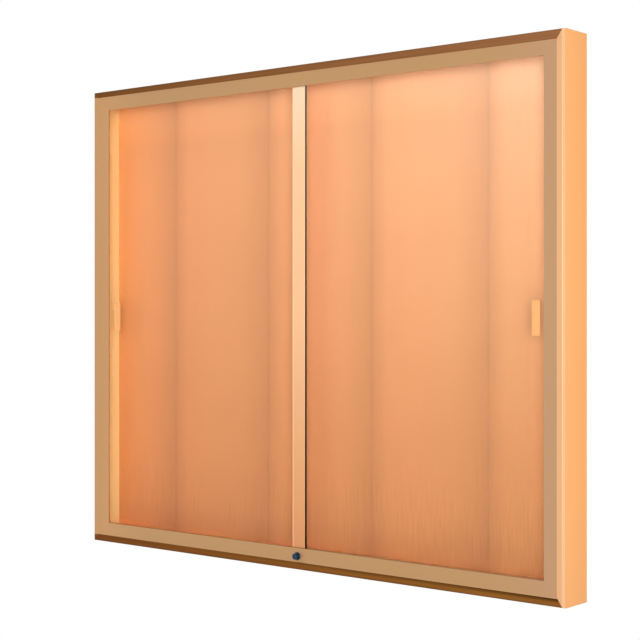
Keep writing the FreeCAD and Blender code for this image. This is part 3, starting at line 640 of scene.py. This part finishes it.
back_head_radius = 0.0025
back_shank_radius = 0.0015
back_shank_length = 0.017
screw_line = 0.0055
screw_row = 0.5
cross_reach = 0.0016
cross_width = 0.0006
cross_depth = 0.0009


def geometry_tree(name, inputs):
    """An empty Geometry Nodes tree with named size inputs, and its two end nodes."""
    tree = bpy.data.node_groups.new(name, "GeometryNodeTree")
    tree.interface.new_socket("Geometry", in_out="INPUT", socket_type="NodeSocketGeometry")
    for label, kind in inputs:
        tree.interface.new_socket(label, in_out="INPUT", socket_type=kind)
    tree.interface.new_socket("Geometry", in_out="OUTPUT", socket_type="NodeSocketGeometry")
    return tree, tree.nodes.new("NodeGroupInput"), tree.nodes.new("NodeGroupOutput")


def frustum(tree, top, bottom, depth, lift, sides=32):
    """A round solid between two radii, whose lower end stands at a height."""
    made = add(tree, "GeometryNodeMeshCone", inputs={
        "Vertices": sides, "Radius Top": top, "Radius Bottom": bottom, "Depth": depth})
    offset = add(tree, "ShaderNodeCombineXYZ", inputs={"Z": lift})
    raised = add(tree, "GeometryNodeTransform", inputs={
        0: made.outputs["Mesh"], "Translation": offset.outputs[0]})
    return raised.outputs[0]


def merged(tree, *parts):
    """Several geometries as one."""
    join = tree.nodes.new("GeometryNodeJoinGeometry")
    for part in reversed(parts):
        tree.links.new(part, join.inputs[0])
    return join.outputs[0]


def minus(tree, value):
    """A length pointing the other way."""
    return maths(tree, "MULTIPLY", value, -1.0)


def cross_screw_tree():
    """Screws on the points of the input mesh: heads along local +Z with a cross recess, shanks along -Z."""
    sizes = ["Head Radius", "Neck Radius", "Head Height", "Head Lift", "Shank Radius", "Shank Length",
             "Cross Reach", "Cross Width", "Cross Depth"]
    tree, start, end = geometry_tree(
        "cross_screws",
        [(size, "NodeSocketFloat") for size in sizes]
        + [("Turn", "NodeSocketVector"), ("Seed", "NodeSocketInt"), ("Finish", "NodeSocketMaterial")])
    given = start.outputs
    head = frustum(tree, given["Head Radius"], given["Neck Radius"], given["Head Height"], given["Head Lift"])
    shank = frustum(tree, given["Shank Radius"], given["Shank Radius"], given["Shank Length"],
                    minus(tree, given["Shank Length"]))
    top = maths(tree, "ADD", given["Head Height"], given["Head Lift"])
    middle = add(tree, "ShaderNodeCombineXYZ", inputs={"Z": top})
    arms = []
    long_side = maths(tree, "MULTIPLY", given["Cross Reach"], 2.0)
    deep = maths(tree, "MULTIPLY", given["Cross Depth"], 2.0)
    for first, second in ((long_side, given["Cross Width"]), (given["Cross Width"], long_side)):
        size = add(tree, "ShaderNodeCombineXYZ", inputs={0: first, 1: second, 2: deep})
        bar = add(tree, "GeometryNodeMeshCube", inputs={"Size": size.outputs[0]})
        arm = add(tree, "GeometryNodeTransform", inputs={
            0: bar.outputs["Mesh"], "Translation": middle.outputs[0]})
        arms.append(arm.outputs[0])
    recess = add(tree, "GeometryNodeMeshBoolean", operation="DIFFERENCE", solver="EXACT")
    tree.links.new(head, recess.inputs[0])
    for arm in reversed(arms):
        tree.links.new(arm, recess.inputs[1])
    screw = merged(tree, recess.outputs[0], shank)
    angle = add(tree, "FunctionNodeRandomValue", data_type="FLOAT", inputs={
        2: 0.0, 3: math.pi, "Seed": given["Seed"]})
    own_turn = add(tree, "ShaderNodeCombineXYZ", inputs={"Z": angle.outputs[1]})
    spots = add(tree, "GeometryNodeInstanceOnPoints", inputs={
        0: given["Geometry"], "Instance": screw, "Rotation": given["Turn"]})
    spun = add(tree, "GeometryNodeRotateInstances", inputs={
        0: spots.outputs[0], "Rotation": own_turn.outputs[0]})
    solid = add(tree, "GeometryNodeRealizeInstances", inputs={0: spun.outputs[0]})
    dressed = add(tree, "GeometryNodeSetMaterial", inputs={0: solid.outputs[0], "Material": given["Finish"]})
    tree.links.new(dressed.outputs[0], end.inputs[0])
    return tree


cross_screws = cross_screw_tree()


def grown(name, points, tree, values, material):
    """The plain mesh that a Geometry Nodes tree grows on some points, with its named inputs set."""
    seeds = bpy.data.meshes.new(name + "_points")
    seeds.from_pydata(points, [], [])
    holder = bpy.data.objects.new(name + "_holder", seeds)
    bpy.context.scene.collection.objects.link(holder)
    modifier = holder.modifiers.new("grow", "NODES")
    modifier.node_group = tree
    wanted = {**values, "Finish": material}
    for item in tree.interface.items_tree:
        if item.in_out == "INPUT" and item.name in wanted:
            modifier[item.identifier] = wanted[item.name]
    bpy.context.view_layer.update()
    ready = holder.evaluated_get(bpy.context.evaluated_depsgraph_get())
    mesh = bpy.data.meshes.new_from_object(ready)
    mesh.name = name
    holder.modifiers.remove(modifier)
    bpy.data.objects.remove(holder)
    return mesh


zinc = grained("zinc_plate", tone(186, 186, 178), 0.35, metallic=1.0,
               fineness=2500.0, depth=0.12, mottle=300.0)

row_z = case_half_height - screw_line
side_x = case_half_width - screw_line
back_places = [(x, 0, z) for x in (-screw_row, 0, screw_row) for z in (-row_z, row_z)]
back_places += [(-side_x, 0, 0), (side_x, 0, 0)]
back_screw_sizes = {
    "Head Radius": back_head_radius, "Neck Radius": back_shank_radius,
    "Head Height": back_head_radius - back_shank_radius, "Head Lift": back_shank_radius - back_head_radius,
    "Shank Radius": back_shank_radius, "Shank Length": back_shank_length,
    "Cross Reach": cross_reach, "Cross Width": cross_width, "Cross Depth": cross_depth,
    "Turn": (math.radians(-90), 0, 0), "Seed": 3,
}
screw_mesh = grown("back_cross_screws", back_places, cross_screws, back_screw_sizes, zinc)
placed("back_cross_screws", screw_mesh, zinc, "case", "plated_steel", "back_screws")

# Wall hangers
# Four galvanised steel keyhole plates behind windows in the hardboard, each held by two flat-headed
# rivets. The case hangs on wall screws by them.

galvanised = grained("galvanised_steel", tone(172, 176, 178), 0.42, metallic=1.0,
                     fineness=160.0, depth=0.3, mottle=60.0, bump=0.00004)
dress(galvanised, "hanger_plates")
dress(zinc, "hanger_rivets")

# Tracks
# The upper track has three fins and the lower one two running ribs, both of anodised aluminium.
# Three cheese-head screws hold each of them to the frame's inner wall.

track_head_radius = 0.0028
track_head_taper = 0.0004
track_head_height = 0.0016
track_shank_radius = 0.0015
track_shank_length = 0.008

track_gold = anodised("track_gold", along_x, 0.4, tone(196, 150, 106), fineness=700.0, depth=0.08)[0]
dress(track_gold, "upper_track", "lower_track")

for name, turn in (("lower", (0, 0, 0)), ("upper", (math.pi, 0, 0))):
    low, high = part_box(name + "_track_screws")
    level_at = low.z + track_shank_length if name == "lower" else high.z - track_shank_length
    middle_y = (low.y + high.y) / 2
    end_x = high.x - track_head_radius
    points = [(x, middle_y, level_at) for x in (-end_x, 0.0, end_x)]
    sizes = {
        "Head Radius": track_head_radius - track_head_taper, "Neck Radius": track_head_radius,
        "Head Height": track_head_height, "Head Lift": 0.0,
        "Shank Radius": track_shank_radius, "Shank Length": track_shank_length,
        "Cross Reach": cross_reach, "Cross Width": cross_width, "Cross Depth": cross_depth,
        "Turn": turn, "Seed": 7,
    }
    screw_mesh = grown(name + "_track_cross_screws", points, cross_screws, sizes, zinc)
    placed(name + "_track_cross_screws", screw_mesh, zinc, "case", "plated_steel", name + "_track_screws")

# Doors
# Two panes of clear float glass stand in anodised aluminium shoes, on strips of soft vinyl, with moulded
# nylon guides on their top edges. The left door runs in front of the right one.
# The panes mirror next to nothing, and let the lamps' light through.

glass, tree, shader = new_material("clear_glass")
shader.inputs["Base Color"].default_value = (0.985, 0.992, 0.985, 1)
shader.inputs["Roughness"].default_value = 0.0
shader.inputs["IOR"].default_value = 1.1
shader.inputs["Transmission Weight"].default_value = 1.0
clear = add(tree, "ShaderNodeBsdfTransparent", inputs={"Color": (0.97, 0.98, 0.97, 1)})
shadow_ray = add(tree, "ShaderNodeLightPath").outputs["Is Shadow Ray"]
either = add(tree, "ShaderNodeMixShader", inputs={0: shadow_ray, 1: shader.outputs[0], 2: clear.outputs[0]})
tree.links.new(either.outputs[0], tree.nodes["Material Output"].inputs["Surface"])
dress(glass, "left_glass", "right_glass")

# The shoes are painted paler than the frame, as painted light on their lip in the shaded gap under the panes.
shoe_gold = anodised("shoe_gold", along_x, 0.45, tone(242, 192, 144), metallic=0.5)[0]
dress(shoe_gold, "left_shoe", "right_shoe")
vinyl = grained("soft_vinyl", tone(48, 42, 38), 0.6, fineness=900.0, depth=0.2)
dress(vinyl, "left_glazing_strip", "right_glazing_strip")
nylon = grained("moulded_nylon", tone(112, 96, 80), 0.5, fineness=1200.0, depth=0.15)
dress(nylon, "left_top_guides", "right_top_guides")

# Wheels
# Grooved nylon wheels turn on plated steel pins through the shoes and run on the lower track's ribs.
# They are a paler moulding than the guides.

wheel_nylon = grained("wheel_nylon", tone(214, 208, 196), 0.4, fineness=900.0, depth=0.1)
dress(wheel_nylon, "left_outer_wheel", "left_meeting_wheel", "right_outer_wheel", "right_meeting_wheel")
dress(zinc, "left_axles", "right_axles")

# Meeting stiles
# The front door ends in a wide upright of bright gold aluminium, with a thin dark vinyl edge down its right
# side, and the rear door in a narrow one hidden behind it. Both are painted paler towards the top and darker
# towards the bottom as painted light and shade; the front one has a painted highlight low on its left arris,
# and the vinyl edge is painted darker towards the bottom as painted shade.
# Nylon plugs fill their ends, and a screw up through the shoe holds each of them.

# Painted light and shade up the stiles: darkest at the bottom, palest at the top.
stile_light_up = (
    (0.0, (213, 147, 101)), (0.05, (222, 156, 108)), (0.12, (231, 165, 115)), (0.5, (253, 198, 150)),
    (0.8, (254, 209, 162)), (1.0, (255, 229, 196)))
# Painted shade on the dark vinyl edge: darkest at the bottom.
edge_shade_up = ((0.0, (16, 8, 4)), (0.5, (72, 68, 60)), (1.0, (112, 114, 102)))
arris_width = 0.0028
# Painted highlight on the left arris of the stile, strongest at the bottom.
arris_highlight = 0.45
edge_thickness = 0.0003
edge_round = 0.00018
edge_margin = 0.0005

stile_gold, tree, shader, (across, depth_at, up), lines = anodised("stile_gold", along_z, 0.36)
rise = share_along(tree, up, case_half_height)
# Painted light and shade up the stiles.
stile_lit_colour = ramp(tree, rise, tones(*stile_light_up))
low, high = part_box("left_meeting_stile")
# Painted highlight down the left arris, fading out towards the top.
at_arris = maths(tree, "LESS_THAN", across, low.x + arris_width)
glint = maths(tree, "MULTIPLY", at_arris, maths(tree, "SUBTRACT", 1.0, rise))
shade = maths(tree, "MULTIPLY_ADD", glint, arris_highlight, lines.outputs["Shade"])
tree.links.new(scaled_colour(tree, stile_lit_colour, shade), shader.inputs["Base Color"])
dress(stile_gold, "left_meeting_stile", "right_edge_stile")
dress(nylon, "left_stile_cap", "right_stile_cap", "left_stile_foot", "right_stile_foot")
dress(zinc, "left_foot_screw", "right_foot_screw")

edge_box = bmesh.new()
bmesh.ops.create_cube(edge_box, size=1.0)
edge_size = Vector((edge_thickness, high.y - low.y - 2 * edge_margin, high.z - low.z))
edge_middle = Vector((high.x + edge_thickness / 2, (low.y + high.y) / 2, (low.z + high.z) / 2))
bmesh.ops.scale(edge_box, vec=edge_size, verts=edge_box.verts)
bmesh.ops.translate(edge_box, vec=edge_middle, verts=edge_box.verts)
outer_edges = []
for edge in edge_box.edges:
    first, second = [corner.co for corner in edge.verts]
    if abs(first.z - second.z) > edge_size.z / 2 and first.x > high.x + edge_thickness / 2:
        outer_edges.append(edge)
bmesh.ops.bevel(edge_box, geom=outer_edges, offset=edge_round, segments=2, affect="EDGES")
edge_mesh = bpy.data.meshes.new("stile_vinyl_edge")
edge_box.to_mesh(edge_mesh)
edge_box.free()

edge_vinyl, tree, shader = new_material("dark_edge_vinyl")
place, across, depth_at, up = object_place(tree)
rise = share_along(tree, up, case_half_height)
# The vinyl edge's painted shade, darkest at the bottom.
shaded_edge_colour = ramp(tree, rise, tones(*edge_shade_up))
grain = add(tree, "ShaderNodeGroup", node_tree=fine_grain, inputs={
    "Vector": place, "Fineness": 1200.0, "Depth": 0.15, "Mottle": 30.0})
tree.links.new(scaled_colour(tree, shaded_edge_colour, grain.outputs["Shade"]), shader.inputs["Base Color"])
shader.inputs["Roughness"].default_value = 0.6
shader.inputs["Specular IOR Level"].default_value = 0.15
placed("stile_vinyl_edge", edge_mesh, edge_vinyl, "left_door", "glazing_vinyl")

# Finger pulls
# A thin plate of bright gold aluminium with a dished face, one for each door.
# It is stuck on the pane at mid-height, near its outer end.

pull_gold = anodised("pull_gold", along_z, 0.5, tone(248, 184, 118), metallic=0.35)[0]
dress(pull_gold, "left_finger_pull", "right_finger_pull")

# Brush seals
# Woven pile strips: one on each side wall where a pane closes, and one in the back of the front stile.
# Each has a flat backing and short dense tufts.

tuft_pitch = 0.0011
tuft_radius = 0.00042
tuft_scatter = tuft_radius / 3
tuft_taper = 0.4
tuft_lean = 0.12
tuft_spin = 3.1
tuft_rows = 3
pile_width = 0.0026
pile_clearance = 0.00015
backing_bevel = 0.0002
jamb_base = 0.0009
meeting_base = 0.001


def tuft_tree():
    """Tufts of pile on a long grid, along local +Z, each a little off its place and its upright."""
    tree, start, end = geometry_tree("pile_tufts", [
        ("Length", "NodeSocketFloat"), ("Width", "NodeSocketFloat"), ("Rows", "NodeSocketInt"),
        ("Columns", "NodeSocketInt"), ("Tuft Height", "NodeSocketFloat"), ("Tuft Radius", "NodeSocketFloat"),
        ("Scatter", "NodeSocketFloat"), ("Turn", "NodeSocketVector"), ("Place", "NodeSocketVector"),
        ("Seed", "NodeSocketInt"), ("Finish", "NodeSocketMaterial")])
    given = start.outputs
    grid = add(tree, "GeometryNodeMeshGrid", inputs={
        "Size X": given["Width"], "Size Y": given["Length"],
        "Vertices X": given["Rows"], "Vertices Y": given["Columns"]})
    aside = add(tree, "FunctionNodeRandomValue", data_type="FLOAT_VECTOR", inputs={
        0: (-1.0, -1.0, 0.0), 1: (1.0, 1.0, 0.0), "Seed": given["Seed"]})
    offset = add(tree, "ShaderNodeVectorMath", operation="SCALE", inputs={
        0: aside.outputs[0], "Scale": given["Scatter"]})
    spread = add(tree, "GeometryNodeSetPosition", inputs={
        0: grid.outputs["Mesh"], "Offset": offset.outputs[0]})
    tuft = frustum(tree, maths(tree, "MULTIPLY", given["Tuft Radius"], tuft_taper), given["Tuft Radius"],
                   given["Tuft Height"], 0.0, sides=5)
    lean = add(tree, "FunctionNodeRandomValue", data_type="FLOAT_VECTOR", inputs={
        0: (-tuft_lean, -tuft_lean, 0.0), 1: (tuft_lean, tuft_lean, tuft_spin),
        "Seed": maths(tree, "ADD", given["Seed"], 1.0)})
    tufts = add(tree, "GeometryNodeInstanceOnPoints", inputs={
        0: spread.outputs[0], "Instance": tuft, "Rotation": lean.outputs[0]})
    solid = add(tree, "GeometryNodeRealizeInstances", inputs={0: tufts.outputs[0]})
    turned = add(tree, "GeometryNodeTransform", inputs={
        0: solid.outputs[0], "Translation": given["Place"], "Rotation": given["Turn"]})
    dressed = add(tree, "GeometryNodeSetMaterial", inputs={0: turned.outputs[0], "Material": given["Finish"]})
    tree.links.new(dressed.outputs[0], end.inputs[0])
    return tree


pile_tufts = tuft_tree()
pile = grained("brush_pile", tone(70, 56, 45), 0.95, fineness=2000.0, depth=0.5)
backing = grained("pile_backing", tone(92, 74, 58), 0.8, fineness=1400.0, depth=0.3)


def bevelled_block(name, low, high, bevel):
    """A block between two corners with its edges eased."""
    block = bmesh.new()
    bmesh.ops.create_cube(block, size=1.0)
    bmesh.ops.scale(block, vec=high - low, verts=block.verts)
    bmesh.ops.translate(block, vec=(low + high) / 2, verts=block.verts)
    bmesh.ops.bevel(block, geom=list(block.edges), offset=bevel, segments=2, affect="EDGES")
    mesh = bpy.data.meshes.new(name)
    block.to_mesh(mesh)
    block.free()
    return mesh


def brush_seal(node, body, backing_box, root, turn, height, width):
    """A seal in place of its CAD solid: the backing block, and the tufts from their root line."""
    low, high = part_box(node)
    columns = int((high.z - low.z) / tuft_pitch)
    sizes = {
        "Length": high.z - low.z - 4 * tuft_radius, "Width": width - 3 * tuft_radius, "Rows": tuft_rows,
        "Columns": columns, "Tuft Height": height, "Tuft Radius": tuft_radius, "Scatter": tuft_scatter,
        "Turn": turn, "Place": (root[0], root[1], (low.z + high.z) / 2), "Seed": 11,
    }
    tufts = grown(node + "_tufts", [(0, 0, 0)], pile_tufts, sizes, pile)
    strip = bevelled_block(node + "_backing", backing_box[0], backing_box[1], backing_bevel)
    placed(node + "_backing", strip, backing, body, "pile", node)
    placed(node + "_tufts", tufts, pile, body, "pile")


for side, node in ((-1, "left_jamb_seal"), (1, "right_jamb_seal")):
    low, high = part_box(node)
    wall = low.x if side < 0 else high.x
    inner = wall - side * jamb_base
    corner_low = Vector((min(wall, inner), low.y, low.z))
    corner_high = Vector((max(wall, inner), high.y, high.z))
    turn = (math.radians(90), 0, math.radians(90 if side < 0 else -90))
    root = (inner, (low.y + high.y) / 2)
    height = high.x - low.x - jamb_base - pile_clearance
    brush_seal(node, "case", (corner_low, corner_high), root, turn, height, pile_width)

low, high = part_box("meeting_seal")
corner_low = Vector((low.x, low.y, low.z))
corner_high = Vector((high.x, low.y + meeting_base, high.z))
turn = (math.radians(90), 0, math.radians(180))
root = ((low.x + high.x) / 2, low.y + meeting_base)
height = high.y - low.y - meeting_base - pile_clearance
brush_seal("meeting_seal", "left_door", (corner_low, corner_high), root, turn, height, pile_width)

# Bumpers
# Small moulded blocks of black rubber on the side walls, one in the line of each door at either end.
# They stop the shoes.

rubber = grained("bumper_rubber", tone(34, 33, 32), 0.75, fineness=1100.0, depth=0.3)
dress(rubber, "end_bumpers")

# Push lock
# A push lock through the bottom bar, in black plating painted dark blue as a painted reflection: a collar, a
# sleeve held by a spring ring behind the bar, a plunger that is the bolt, and a plug with the key slot,
# painted a paler blue as a painted highlight.

# Painted reflection: the black plating is painted dark blue.
lock_reflection_plate = grained("dark_lock_plate", tone(26, 58, 84), 0.3, metallic=0.6,
                     fineness=2200.0, depth=0.2, mottle=400.0)
dress(lock_reflection_plate, "lock_housing", "lock_plunger")
# Painted highlight: the plug is painted a paler blue.
plug_highlight_plate = grained("lock_plug_plate", tone(38, 73, 95), 0.3, metallic=0.8,
                     fineness=2200.0, depth=0.2, mottle=400.0)
dress(plug_highlight_plate, "lock_plug")
spring_steel = grained("blackened_spring", tone(62, 60, 60), 0.4, metallic=1.0, fineness=1500.0, depth=0.2)
dress(spring_steel, "lock_ring")
